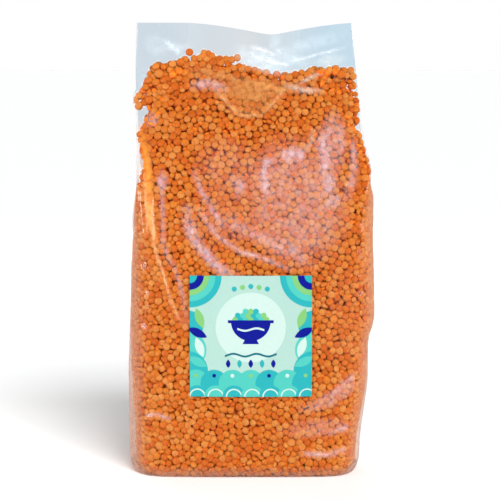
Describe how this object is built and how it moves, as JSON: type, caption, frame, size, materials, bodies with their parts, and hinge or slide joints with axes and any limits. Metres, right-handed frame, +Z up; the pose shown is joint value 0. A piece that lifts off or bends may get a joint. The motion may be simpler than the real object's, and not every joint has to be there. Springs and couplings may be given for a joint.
{
  "type": "bag of lentils",
  "caption": "Clear side-gusset film bag filled with hulled red lentils, standing on its flat base, with folded-in gussets, a flat empty header and a square label on the front.",
  "frame": {"origin": "middle of the base, under the middle of the part's box", "axes": "+Z up, -Y out of the front panel that carries the label, +X to the right as the front is seen"},
  "size_m": [0.166, 0.075, 0.299],
  "materials": {
    "filled_bag": "orange lentils seen through clear glossy film",
    "label": "smooth coated paper with printed colour fields"
  },
  "bodies": {
    "root": {"bag": "filled_bag", "label": "label"}
  },
  "joints": []
}
